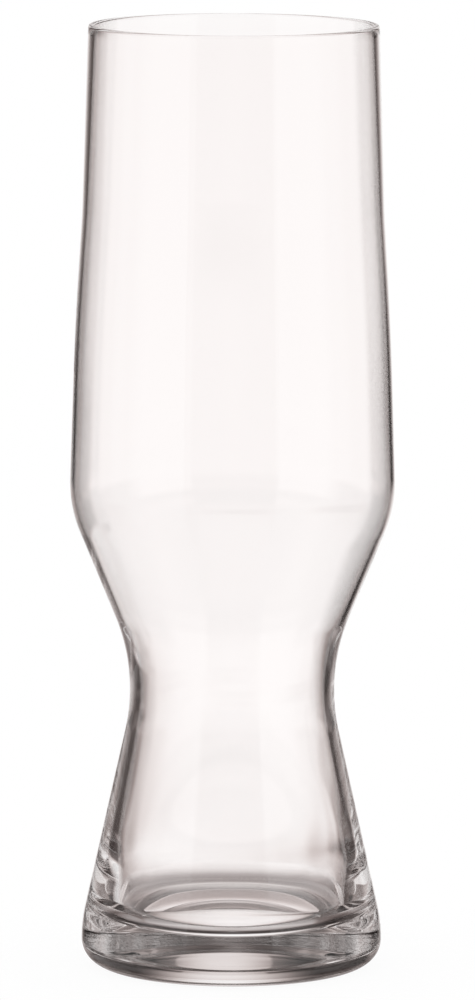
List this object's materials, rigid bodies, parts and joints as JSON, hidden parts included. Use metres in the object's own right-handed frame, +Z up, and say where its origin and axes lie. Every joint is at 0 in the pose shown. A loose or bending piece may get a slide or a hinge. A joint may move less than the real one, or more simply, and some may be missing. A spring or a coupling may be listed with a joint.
{
  "type": "weizen glass",
  "caption": "Tall clear beer glass: thin straight bowl with a rounded shoulder, drawn in to a hollow waist and flared out to a heavy solid foot that stands on a ring.",
  "frame": {"origin": "centre of the ring that the foot stands on, at table level", "axes": "+Z up along the axis of the glass, towards the rim; X and Y are alike, because the glass is round"},
  "size_m": [0.0756, 0.0756, 0.22],
  "materials": {
    "bowl_glass": "clear fire-polished glass, colourless, smooth inside and out",
    "foot_glass": "clear solid glass, colourless, smooth"
  },
  "bodies": {
    "root": {"bowl": "bowl_glass", "foot": "foot_glass"}
  },
  "joints": []
}
